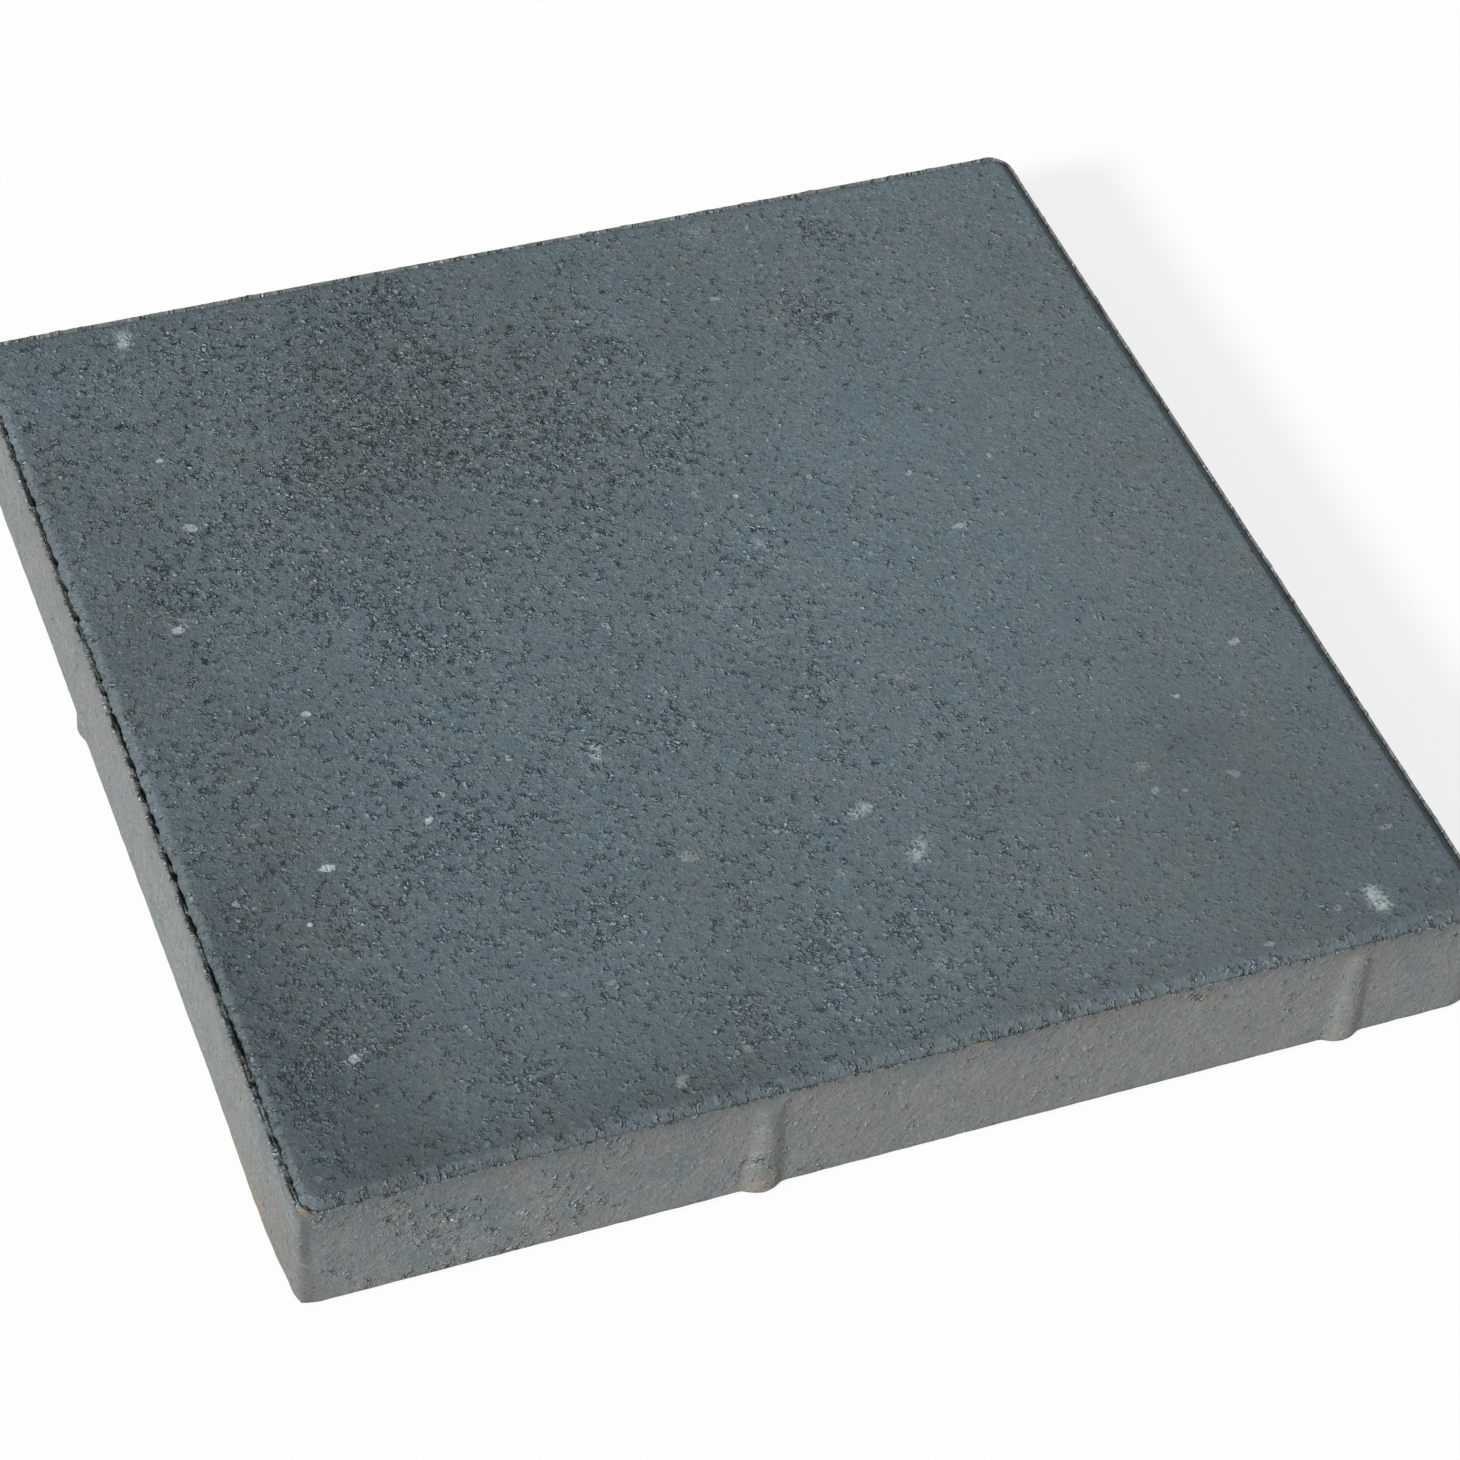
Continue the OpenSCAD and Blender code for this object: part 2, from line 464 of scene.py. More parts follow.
# Larger grains that show in the face, as (x, y, half length, half width, turn, kind), where the
# kind runs from 0, white, to 1, tan
FACE_GRAINS = (
    (-151, 88, 2.6, 1.9, -30, 0.15), (-152, 123, 1.5, 1.1, 20, 0.1), (-168, 42, 2.2, 1.9, 0, 0.1),
    (-152, -73, 2.8, 1.5, 0, 0.0), (33, 50, 1.1, 1.0, 0, 0.0), (-115, -63, 1.6, 1.0, 60, 0.1),
    (170, -65, 2.4, 1.5, 25, 0.2), (63, 150, 1.8, 1.4, 0, 0.3), (102, 14, 2.8, 1.1, 0, 0.2),
    (-75, -187, 3.1, 1.9, 45, 0.5), (-167, -149, 1.8, 1.4, 45, 0.1), (122, -191, 2.0, 1.3, 0, 0.4),
    (20, 55, 2.4, 2.0, 10, 0.55), (20, 42, 2.0, 1.7, 0, 0.6), (39, 36, 1.6, 1.3, 0, 0.6),
    (-41, -102, 3.4, 2.7, 0, 0.5), (115, -109, 3.2, 2.3, 20, 0.55), (8, -81, 3.0, 1.3, 40, 0.6),
    (181, -157, 2.8, 1.2, 0, 0.5), (62, -162, 2.2, 1.4, 90, 0.6), (-168, -49, 2.0, 1.2, 0, 1.0),
    (116, 145, 1.5, 1.2, 0, 1.0), (-139, -7, 1.6, 1.3, 0, 0.05), (-116, -64, 1.0, 0.9, 0, 0.0),
    (-164, -94, 1.0, 0.9, 0, 0.0), (21, -47, 1.0, 0.9, 0, 0.1), (140, -83, 1.1, 0.9, 0, 0.0),
    (64, -161, 1.0, 0.8, 0, 0.0),
)
# Lime blooms, as (x, y, radius, strength)
LIME_BLOOMS = (
    (163, -181, 4, 1.0), (164, -187, 4, 1.0), (-147, 189, 4, 0.9), (-148, 184, 3, 0.9),
    (-54, -48, 2.6, 0.9), (-55, -53, 2.6, 1.0), (16, -101, 3, 0.9), (21, -99, 3, 0.9),
    (28, -124, 4, 0.8), (32, -119, 4.5, 0.7), (19, -168, 6, 0.5), (10, 1, 3.4, 0.8),
    (32, 26, 3.2, 0.8), (35, 13, 3, 0.5), (70, 187, 5, 0.6), (-150, 18, 3, 0.5),
    (-118, -172, 3, 0.5), (104, 14, 3, 0.6), (-166, -149, 3, 0.6), (55, -182, 3, 0.4),
    (72, -152, 3, 0.4), (-20, 150, 3, 0.25), (-95, -30, 4, 0.25), (130, 90, 4, 0.2),
)
# Small grains of the face: how many, and the half lengths. Pits of the face: how many, the radii
# and the depths.
FACE_SMALL_GRAINS = (520, (0.55, 2.0))
FACE_PITS = (1900, (1.3, 3.4), (0.22, 0.95))

# Where broad changes of the face begin and end: the dusk towards the left, the calmer texture
# towards the right, the wear towards the front, which is less towards the back, and the band
# along the front edge; and the patches that are lighter, as (x, y, radius, strength)
LEFT_DUSK = (-185.0, -105.0)
CALM_RIGHT = (-20.0, 130.0)
FRONT_WEAR = (40.0, 150.0)
FRONT_EDGE = (-194.0, -174.0)
FRONT_EDGE_FADE = (-60.0, -20.0)
LIGHT_PATCHES = ((85, 10, 105, 1.0), (125, 165, 55, 0.8))


def facing_marks(points):
    """Marks of the facing at points of the walking face: broad patches added to layered noise.

    Warmth runs from -1, blue, to 1, sandy. Gloom darkens, open texture lets the crumbs show, and
    wear takes the contrast out of them: it grows towards the front and the right, and turns
    negative towards the back, where the face is sharpest."""
    x, y, _ = points.T
    blue = soft_blobs(points, BLUE_PATCHES)
    brown = soft_blobs(points, BROWN_PATCHES)
    loose = layered_noise(points, 34.0, 100, layers=4, fade=0.7)
    warmth = np.clip(-(blue + brown) * 0.55 - 0.55 * loose, -1.0, 1.0)
    gloom = soft_blobs(points, DARK_PATCHES) * 0.5
    gloom += 0.22 * step_down(x, *LEFT_DUSK)
    gloom += 0.20 * (1.0 - soft_blobs(points, LIGHT_PATCHES))
    gloom += 0.18 * layered_noise(points, 22.0, 130, layers=3)
    calm_right = step_up(x + 0.25 * y, *CALM_RIGHT)
    open_texture = soft_blobs(points, OPEN_PATCHES) + 0.42 - 0.30 * calm_right
    open_texture += 0.60 * layered_noise(points, 15.0, 160, layers=3, fade=0.7)
    worn = 0.75 * step_up(-y, *FRONT_WEAR) + 0.45 * calm_right
    worn -= 0.45 * step_up(y, *FRONT_WEAR)
    return warmth, np.clip(gloom, 0.0, 1.0), np.clip(open_texture, 0.0, 1.0), worn


def walking_face(skin, places, corner_squares, thickness, reach):
    """The pressed face: a sheet just under the full thickness.

    Depth below it = 0.04 + slow waves + noise that grows with the open texture + pits + a
    rounding towards the chamfer, 0.22 (offset / reach)^3, that takes the edge off the arris. A
    band along the front edge is sandier and darker, darkest on the left."""
    flat, offset = grid_points(places, corner_squares, reach)
    x, y, _ = flat.T
    warmth, gloom, open_texture, worn = facing_marks(flat)
    front_edge = step_down(y, *FRONT_EDGE)
    warmth = warmth + 0.45 * front_edge
    gloom = gloom + (0.22 - 0.12 * step_up(x, *FRONT_EDGE_FADE)) * front_edge
    waves = 0.10 * (1.0 + smooth_noise(flat, 95.0, 1))
    rough = 0.05 + 0.16 * open_texture
    grainy = rough * (0.8 + layered_noise(flat, 5.5, 2, layers=3, fade=0.8))
    crowding = step_up(open_texture, 0.45, 0.95) * 0.9 + 0.010
    hollow = pits(x, y, *FACE_PITS, 3, crowding)
    rounding = 0.22 * (offset.ravel() / reach) ** 3
    calm = step_down(offset.ravel(), 0.2 * reach, reach)
    depth = 0.04 + waves + grainy * (0.25 + 0.75 * calm) + hollow * calm + rounding
    points = flat.copy()
    points[:, :2] += STAMP_SHIFT
    points[:, 2] = thickness - depth
    half = places[-1]
    small_grains = scattered_grains((-half, -half), (half, half), *FACE_SMALL_GRAINS, 4)
    face_grains = np.concatenate([small_grains, FACE_GRAINS])
    grains, kind = nearest_grains(x, y, face_grains)
    numbers = skin.add(points, facing=1.0, open_texture=open_texture * (0.3 + 0.7 * calm),
                       hollow=np.clip(hollow / 0.8, 0.0, 1.0) * calm, warmth=warmth, gloom=gloom,
                       worn=worn, lime=np.clip(soft_blobs(flat, LIME_BLOOMS), 0.0, 1.0),
                       grains=grains, grain_kind=kind)
    numbers = numbers.reshape(offset.shape)
    skin.sheet(numbers, upwards=True)
    return grid_border(numbers)


# ---------------------------------------------------------------- the rim

# Rings of the chamfer, from the face down, as shares of its run and of its drop
CHAMFER_RINGS = ((0.10, 0.16), (0.30, 0.33), (0.55, 0.56), (0.80, 0.80), (0.97, 0.97))

# Places along the left side, in Y: where the ledge crumbled and where the groove is deepest, each
# with a radius, where the groove becomes clean, and where the smeared paste ends
CRUMBLED_LEDGE = (-147.0, 32.0)
DEEPEST_GROOVE = (-82.0, 26.0)
CLEAN_GROOVE = (30.0, 80.0)
SMEAR_END = (-100.0, -40.0)

# Small grains in the skin of the ledge, where they lie on the way up, how many, and the half
# lengths; and two large ones on the left side, white and tan, as (Y, place on the way up, half
# length, half width, kind)
LEDGE_LOW, LEDGE_HIGH = 43.0, 49.0
LEDGE_SMALL_GRAINS = (260, (0.5, 1.5))
LARGE_LEDGE_GRAINS = ((-159.5, 46.4, 1.5, 1.1, 0.0), (-183.0, 46.5, 2.4, 1.0, 0.35))

# Lays points down to the ground
FLAT = np.array([1.0, 1.0, 0.0])


def nib_rise(columns, height):
    """How far the nibs stand out of the side faces at each column, at one height.

    A nib's round is a circle of NIB_RADIUS whose crown leans back evenly from foot to head and
    then follows an arc into the side face. Round and side face meet in a fillet, made with
    (u + sqrt(u^2 + blend^2)) / 2, which fades out beside the nib."""
    lean = NIB_FOOT_PROUD - (NIB_FOOT_PROUD - NIB_HEAD_PROUD) * height / NIB_HEAD_START
    into_head = np.clip((height - NIB_HEAD_START) / NIB_HEAD, 0.0, 1.0)
    head = NIB_HEAD_PROUD * (1.0 - 0.5 * into_head - 0.5 * into_head**2)
    crown = lean if height < NIB_HEAD_START else head
    rise = np.zeros(len(columns.place))
    for middle, end_face_share in zip(NIB_PLACES, END_FACE_SHARES):
        away = np.abs(columns.place - middle)
        top = crown * np.where(columns.end_face, end_face_share, 1.0)
        body = top - away**2 / (2.0 * NIB_RADIUS)
        blend = NIB_FILLET_BLEND * np.clip(top / NIB_HEAD_PROUD, 0.05, 1.0)
        filled = (body + np.sqrt(body**2 + blend**2)) / 2.0 - blend**2 / 24.0
        rise += np.clip(filled, 0.0, None) * step_down(away, *NIB_FILLET_END)
    return rise * columns.straight * (into_head < 1.0)


class RimWear:
    """How ragged the rim is at each of the fine columns, by noise round the slab that is strongest
    on the left side and weakest on the front.

    `uneven` and `chips` raise and lower the chamfer and `nibbled` takes back its foot. `cut` is
    the depth of the groove and `groove_width` its share of the ledge. `fin` is the height of the
    fin, `crack` the depth of the crack between both, and `stones` the height of the small stones
    in the groove of the left side, most where it crumbled and fewest where it is clean."""

    def __init__(self, fine):
        arris = fine.ring(CORNER_RADIUS, 0.0)
        y = arris[:, 1]
        blobs = layered_noise(arris, 7.0, 20, layers=3, fade=0.8)
        ragged = layered_noise(arris, 2.4, 21, layers=2, fade=0.9)
        dashes = layered_noise(arris, 16.0, 22, layers=3, fade=0.7)
        slow = smooth_noise(arris, 45.0, 23)
        self.uneven = (0.10 + 0.07 * fine.front) * layered_noise(arris, 4.0, 24, layers=2)
        rubble = layered_noise(arris, 1.9, 26, layers=2, fade=0.9)
        crack = 0.2 + 1.4 * layered_noise(arris, 5.0, 27, layers=2)
        crumbled = bell(y - CRUMBLED_LEDGE[0], CRUMBLED_LEDGE[1])
        clean = step_up(y, *CLEAN_GROOVE)
        gaps = step_up(blobs + 0.6 * ragged + 0.3 * slow - 0.2 * crumbled, -0.25, 0.20)
        gaps = np.maximum(gaps, 0.55 * clean * step_up(blobs, -0.6, -0.1))
        deepest = 1.9 + 0.8 * bell(y - DEEPEST_GROOVE[0], DEEPEST_GROOVE[1])
        cut = (fine.left * deepest * gaps
               + fine.front * np.clip(0.25 + 1.3 * dashes + 0.4 * ragged, 0.0, 1.2)
               + fine.right * np.clip(0.8 + 0.8 * dashes, 0.1, 1.6)
               + fine.back * np.clip(0.6 + 0.8 * dashes, 0.1, 1.4))
        fin = (fine.left * (0.35 + 0.75 * ragged - 0.35 * blobs)
               + fine.front * (0.12 + 0.22 * ragged + 0.15 * dashes)
               + fine.right * (0.65 + 0.35 * ragged + 0.2 * dashes)
               + fine.back * (0.45 + 0.35 * ragged + 0.3 * dashes))
        stones = 0.55 + 0.25 * crumbled - 0.35 * clean + 1.5 * rubble
        self.chips = 0.35 * np.clip(blobs - 0.25, 0.0, None)
        self.nibbled = (1.02 + 0.9 * np.clip(ragged + 1.2 * blobs, -0.7, 1.4)) * fine.left
        self.crumbled = crumbled * fine.left
        self.cut = np.clip(cut, 0.06, 2.7)
        self.groove_width = np.clip(0.40 + 0.26 * blobs + 0.20 * ragged, 0.16, 0.66)
        self.crack = np.clip(crack, 0.0, 1.2) * fine.left
        self.fin = np.clip(fin, -0.35, 1.7)
        self.stones = np.clip(stones, 0.0, 1.4) * fine.left


def chamfer(skin, fine, wear, border, thickness, reach):
    """The chamfer, shifted with the stamp: from the face's border to its foot at the ledge.

    Offset = reach + share of the run, less what is nibbled off, which grows with the cube of that
    share. Height = thickness - share of the drop + unevenness, most half way down, - chips, which
    deepen downwards. Gives the last ring and its points."""
    warmth, gloom, open_texture, worn = facing_marks(fine.ring(reach, 0.0))
    previous = border
    for run, drop in CHAMFER_RINGS:
        offset = reach + CHAMFER_RUN * run - wear.nibbled * run**3
        chips = wear.chips * run
        height = thickness - CHAMFER_DROP * drop - 0.10 - chips
        height += wear.uneven * (1.0 - abs(run - 0.5))
        points = fine.ring(offset, height) + np.append(STAMP_SHIFT, 0.0)
        rough = 0.30 + 0.35 * open_texture * (1.0 - run) + 0.28 * fine.front + 0.45 * wear.crumbled
        # Painted shade and light: the gloom darkens the chamfer on the right side, which turns from
        # the lamp, and lightens it on the left side, which faces the lamp
        previous = skin.ring(previous, points, False, facing=0.86, open_texture=rough,
                             warmth=warmth * 0.5 + 0.35 - 0.5 * fine.right,
                             gloom=gloom * 0.8 + 0.22 + 0.62 * fine.right - 0.23 * fine.left,
                             hollow=0.35 * step_up(chips, 0.05, 0.3), worn=worn)
    return previous, points


def ledge(skin, fine, wear, chamfer_ring, chamfer_foot, ledge_height):
    """The ledge, with a groove cut into its inner part and a fin that stands on its outer part.

    Each ring lies at a share of the way from the chamfer's foot to the outer arris, so that the
    ledge is as wide there as the shifted stamp left it."""
    width, cut, crack, fin, stones = wear.groove_width, wear.cut, wear.crack, wear.fin, wear.stones
    # Share of the way, height above the ledge, facing, hollow, which darkens the groove with
    # painted shade, and whether the strip is upright
    rings = (
        (0.06, -0.75 * cut, 0.9, 1.0, False),
        (0.50 * width, -cut, 0.6, 1.0, False),
        (0.95 * width, stones - 0.55 * cut, 0.45, 0.4 - 0.4 * stones, True),
        (0.22 + 0.95 * width, 0.4 * fin - crack, 0.3, crack, True),
        (0.48 + 0.60 * width, fin, 0.2, 0.05, True),
        (1.0, 0.25 * fin - 0.10, 0.35 * smeared(fine), 0.0, True),
    )
    inner, outer = chamfer_foot * FLAT, fine.ring(CORNER_RADIUS, 0.0)
    deep = np.clip(cut / 1.4, 0.0, 1.0)
    small_grains = scattered_grains((0.0, LEDGE_LOW), (fine.girth, LEDGE_HIGH),
                                    *LEDGE_SMALL_GRAINS, 25)
    ledge_grains = np.concatenate([small_grains, large_ledge_grains(fine)])
    previous = chamfer_ring
    for share, height, facing, hollow, upright in rings:
        share = np.broadcast_to(share, (len(inner),))[:, None]
        points = inner * (1.0 - share) + outer * share
        points[:, 2] = ledge_height + height
        path = ledge_height + LEDGE_WIDTH * (1.0 - share[:, 0])
        grains, kind = nearest_grains(fine.run, path, ledge_grains)
        # Painted shade of the groove: the ledge is darkened all round, more on the front, and most
        # in the deep groove of the left side, where the fin shades it
        gloom = 0.35 + 0.35 * fine.front + 1.5 * fine.left * hollow * deep**2
        previous = skin.ring(previous, points, upright, run=fine.run, rise=path, facing=facing,
                             open_texture=0.75, hollow=hollow * deep, warmth=0.2, gloom=gloom,
                             grains=grains, grain_kind=kind, rust=side_rust(points))
    return previous


def smeared(columns):
    """How much facing paste is smeared over the arris: most on the front side and near the front
    corner of the left side."""
    near = step_down(columns.feet[:, 1], *SMEAR_END)
    return columns.front + 0.8 * columns.left * near + 0.4 * (columns.right + columns.back)


def large_ledge_grains(fine):
    """The large grains of the ledge, with their Y turned into the way round the slab."""
    left = np.flatnonzero((fine.left > 0.99) & fine.straight)[::-1]
    down = fine.ring(CORNER_RADIUS, 0.0)[left, 1]
    y, height, half_length, half_width, kind = np.array(LARGE_LEDGE_GRAINS).T
    way = np.interp(y, down, fine.run[left])
    return np.column_stack([way, height, half_length, half_width, np.zeros(len(way)), kind])


# ---------------------------------------------------------------- the side faces

# How far behind a side face's plane a point still belongs to it
SIDE_BEHIND = 5.0

# Parts of the front face that are rougher or smoother, as (x, y, radius, strength)
FRONT_ROUGHNESS = ((-125, -200, 50, 0.25), (5, -200, 45, -0.22), (110, -200, 45, -0.15))

# Where marks of the side faces begin and end: along the front in X, along the left side in Y, and
# in height or in distance below the arris
FRONT_NEAR_BLUE = (-110.0, -50.0)
FRONT_NEAR_DARK = (-110.0, -40.0)
FRONT_FAR_DARK = (150.0, 170.0)
FRONT_WORN = (-60.0, 120.0)
NEAR_DARK_BELOW = (8.0, 30.0)
FAR_DARK_BELOW = (8.0, 22.0)
LEFT_NEAR_WARM = (-185.0, -120.0)
LEFT_NEAR_DARK = (-180.0, -150.0)
LEFT_WARM_HEIGHTS = (15.0, 40.0)
LEFT_DARK_HEIGHTS = (20.0, 40.0)
LEFT_LIGHT = (-55.0, 50.0)

# Painted shade on the near corner, where its round turns from the lamp-lit left face to the front,
# and the dark line down its middle, as (x, y) and radius, and the heights over which the line
# begins
NEAR_CORNER = np.array([-196.6, -198.7])
NEAR_CORNER_RADIUS = 3.4
CORNER_LINE = np.array([-197.2, -198.0])
CORNER_LINE_RADIUS = 1.0
CORNER_LINE_HEIGHTS = (16.0, 26.0)

# Where the foot of the left face leans out: up to the nib, and most at a place near the front
# corner, with its radius
LEFT_SWELL_END = (45.0, 65.0)
LEFT_SWELL_MOST = (-158.0, 30.0)

# Tan stains, as (x, y, z, radius, strength): on the near corner's top, along the foot of the left
# face next to it, at the nibs' feet and under the arris of the front
TAN_STAINS = (
    (-197.5, -198.4, 44.0, 1.9, 0.7), (-201.0, -163.0, 0.6, 5.0, 0.95),
    (-201.0, -156.0, 0.5, 4.0, 0.6), (-201.0, -170.0, 0.5, 4.0, 0.6),
    (-201.0, -130.0, 0.0, 7.0, 0.5), (-201.0, -143.0, 0.0, 6.0, 0.5),
    (-50.0, -202.0, 1.0, 6.0, 0.5), (20.0, -200.0, 45.0, 3.0, 0.5),
    (66.0, -200.0, 45.0, 3.5, 0.35), (152.0, -202.0, 1.0, 5.0, 0.35),
)

# The two rings of the rounded lower arris, as inset, height and share of the nibs
LOWER_ARRIS = ((0.45, 0.42, 0.98), (1.15, 0.12, 0.85))

# Small grains and pits of the side faces, as those of the walking face are given
SIDE_SMALL_GRAINS = (330, (0.5, 1.6))
SIDE_PITS = (620, (1.0, 2.6), (0.12, 0.50))


def on_left(points):
    """Whether each point belongs to the left side face."""
    return points[:, 0] < SIDE_BEHIND - FACE_HALF


def on_front(points):
    """Whether each point belongs to the front side face."""
    return points[:, 1] < SIDE_BEHIND - FACE_HALF


def side_faces(skin, coarse, arris_ring):
    """The four side faces with their nibs, and the rounded lower arris.

    Offset from the square of corner centres = corner radius + nib + shallow noise - pits. Facing
    paste is smeared down from the arris and fades with exp(-distance / 1.6)."""
    rows, columns = len(SIDE_HEIGHTS), len(coarse.feet)
    outline = np.concatenate([coarse.ring(CORNER_RADIUS, height) for height in SIDE_HEIGHTS])
    x, y, level = outline.T
    around = np.tile(coarse.run, rows)
    streaks = outline * np.array([1.0, 1.0, 0.12])
    relief = (0.10 * layered_noise(outline, 11.0, 40, layers=3)
              + 0.05 * smooth_noise(streaks, 3.5, 41) + foot_bulge(outline))
    front_share = np.tile(coarse.front + 0.7 * coarse.right + 0.8 * coarse.back
                          + 0.25 * coarse.left, rows)
    loose = layered_noise(outline, 14.0, 42, layers=3) + soft_blobs(outline, FRONT_ROUGHNESS)
    loose = step_up(loose, -0.1, 0.6)
    crowding = front_share * (0.12 + 0.88 * loose)
    hollow = pits(around, level, *SIDE_PITS, 43, crowding)
    nib = np.concatenate([nib_rise(coarse, height) for height in SIDE_HEIGHTS])
    low_edge = step_down(level, 0.5, 5.0)
    offset = CORNER_RADIUS + nib + relief - hollow - 0.05
    offset -= low_edge * 0.12 * (1.0 + layered_noise(outline, 3.0, 44, layers=2))
    warmth = 0.1 + 0.7 * layered_noise(outline, 26.0, 45, layers=4, fade=0.7)
    near_left = on_left(outline) * step_down(y, *LEFT_NEAR_WARM)
    warmth = warmth + 0.9 * near_left * step_down(level, *LEFT_WARM_HEIGHTS)
    near_front = on_front(outline) * step_down(x, *FRONT_NEAR_BLUE)
    warmth = np.clip(warmth - 0.4 * near_front, -1.0, 1.0)
    open_texture = np.clip(0.75 * loose * front_share - 0.15, -0.15, 1.0)
    worn = front_share * (1.0 - 1.1 * loose * (1.0 - 0.6 * step_up(x, *FRONT_WORN)))
    gloom = side_gloom(outline)
    smear = 0.45 * np.tile(smeared(coarse), rows) * np.exp((level - ARRIS_HEIGHT) / 1.6)
    small_grains = scattered_grains((0.0, 0.0), (coarse.girth, 46.0), *SIDE_SMALL_GRAINS, 47)
    grains, kind = nearest_grains(around, level, small_grains)
    previous = arris_ring
    for row, height in enumerate(SIDE_HEIGHTS):
        part = slice(row * columns, (row + 1) * columns)
        points = coarse.ring(offset[part] + foot_flare(coarse, height), height)
        previous = skin.ring(previous, points, True, run=coarse.run, rise=height,
                             facing=smear[part], open_texture=open_texture[part],
                             hollow=np.clip(hollow[part] / 0.7, 0.0, 1.0), worn=worn[part],
                             warmth=warmth[part], gloom=gloom[part], rust=side_rust(points),
                             grains=grains[part], grain_kind=kind[part])
    foot = coarse.ring(CORNER_RADIUS, 0.0)
    crumble = layered_noise(foot, 4.0, 46, layers=3)
    for inset, height, nib_share in LOWER_ARRIS:
        offset = CORNER_RADIUS + nib_share * nib_rise(coarse, 0.0) - inset
        offset += foot_bulge(foot) + foot_flare(coarse, 0.0) - 0.15 * (1.0 + crumble)
        points = coarse.ring(offset, height + 0.05 * (1.0 + crumble))
        previous = skin.ring(previous, points, True, run=coarse.run, rise=height - inset,
                             open_texture=0.6, warmth=0.2, rust=side_rust(points))
    return previous


def foot_flare(columns, height):
    """How far a corner stands out at its foot beyond its round: a share of the way from the round
    to the square corner, 1 / cosine - 1 times the radius. It is most at the near corner, and
    nothing from half way up."""
    aside = np.abs(columns.turned)
    near = (columns.left + columns.front > 0.99) & (columns.left * columns.front > 0.0)
    share = np.where(near, 0.42, 0.25) * step_down(height, 1.0, 26.0)
    return CORNER_RADIUS * share * (1.0 / np.cos(aside) - 1.0)


def foot_bulge(points):
    """How far the left face leans out at its foot: a step that ends past the nib, and a bell near
    the front corner, both falling evenly with height to nothing at the arris."""
    _, y, z = points.T
    swell = 0.45 * step_down(y, *LEFT_SWELL_END)
    swell += 0.75 * bell(y - LEFT_SWELL_MOST[0], LEFT_SWELL_MOST[1])
    swell *= step_up(y, CORNER_RADIUS - FACE_HALF, 20.0 - FACE_HALF)
    left = on_left(points) * (np.abs(y) < FACE_HALF - CORNER_RADIUS)
    return swell * left * (1.0 - z / SIDE_HEIGHTS[0])


def side_gloom(points):
    """Dark of the side faces: a band under the arris that fades with exp(-distance / 5.5), the near
    and the far end of the front, painted shade on the near corner and a dark line down its middle,
    where the corner's round turns from the lamp-lit left face to the front, and the foot of the
    left face next to it. The left face is lighter further along."""
    x, y, z = points.T
    below = ARRIS_HEIGHT - z
    gloom = 0.10 + 0.45 * np.exp(-below / 5.5)
    gloom += 0.10 * layered_noise(points, 16.0, 70, layers=3)
    near = step_down(x, *FRONT_NEAR_DARK)
    far = step_up(x, *FRONT_FAR_DARK)
    gloom += 0.16 * on_front(points) * near * step_down(below, *NEAR_DARK_BELOW)
    gloom += 0.15 * on_front(points) * far * step_down(below, *FAR_DARK_BELOW)
    corner = np.linalg.norm(points[:, :2] - NEAR_CORNER, axis=1)
    line = np.linalg.norm(points[:, :2] - CORNER_LINE, axis=1)
    # Painted shade where the near corner turns from the lamp
    gloom += 0.7 * bell(corner, NEAR_CORNER_RADIUS)
    gloom += 0.9 * bell(line, CORNER_LINE_RADIUS) * step_up(z, *CORNER_LINE_HEIGHTS)
    near_left = on_left(points) * step_down(y, *LEFT_NEAR_DARK)
    gloom += 0.22 * near_left * step_down(z, *LEFT_DARK_HEIGHTS)
    gloom -= 0.16 * on_left(points) * bell(y - LEFT_LIGHT[0], LEFT_LIGHT[1])
    return np.clip(gloom, 0.0, 1.4)


def side_rust(points):
    """Tan stain at points of the side faces and the ledge: the strongest of the spots' bells."""
    stain = np.zeros(len(points))
    for *middle, radius, strength in TAN_STAINS:
        away = np.linalg.norm(points - np.array(middle), axis=1)
        stain = np.maximum(stain, strength * bell(away, radius))
    return stain


# ---------------------------------------------------------------- the bed and the whole skin

BED_PITS = (900, (2.6, 6.5), (0.4, 1.5))

# How far the bed's outer ring and its sheet's border lie inside the side faces
BED_RING_INSET = 2.0
BED_SHEET_INSET = 4.5


def bed(skin, coarse, places, corner_squares, side_ring, reach):
    """The bed, which lay against the mould's pallet: a rougher sheet that starts at the ground.

    Height = slow waves + coarse noise + pits, all above zero and calmer towards the border."""
    points = coarse.ring(CORNER_RADIUS - BED_RING_INSET, 0.10)
    inner = skin.ring(side_ring, points, True, run=coarse.run, rise=-BED_RING_INSET,
                      open_texture=0.7, warmth=0.2)
    flat, offset = grid_points(places, corner_squares, reach)
    x, y, _ = flat.T
    loose = step_up(layered_noise(flat, 24.0, 60, layers=3), -0.4, 0.6)
    rise = 0.12 * (1.0 + smooth_noise(flat, 80.0, 61))
    rise += (0.10 + 0.25 * loose) * (1.0 + layered_noise(flat, 9.0, 62, layers=2))
    hollow = pits(x, y, *BED_PITS, 63, 0.1 + 0.8 * loose)
    calm = step_down(offset.ravel(), 0.3 * reach, reach)
    points = flat.copy()
    points[:, 2] = 0.03 + rise * (0.3 + 0.7 * calm) + hollow * calm
    warmth = 0.6 * layered_noise(flat, 50.0, 64, layers=4, fade=0.7)
    numbers = skin.add(points, facing=0.0, open_texture=0.45 + 0.5 * loose,
                       hollow=np.clip(hollow / 1.2, 0.0, 1.0), warmth=warmth)
    numbers = numbers.reshape(offset.shape)
    skin.sheet(numbers, upwards=False)
    skin.join(inner, grid_border(numbers), False)


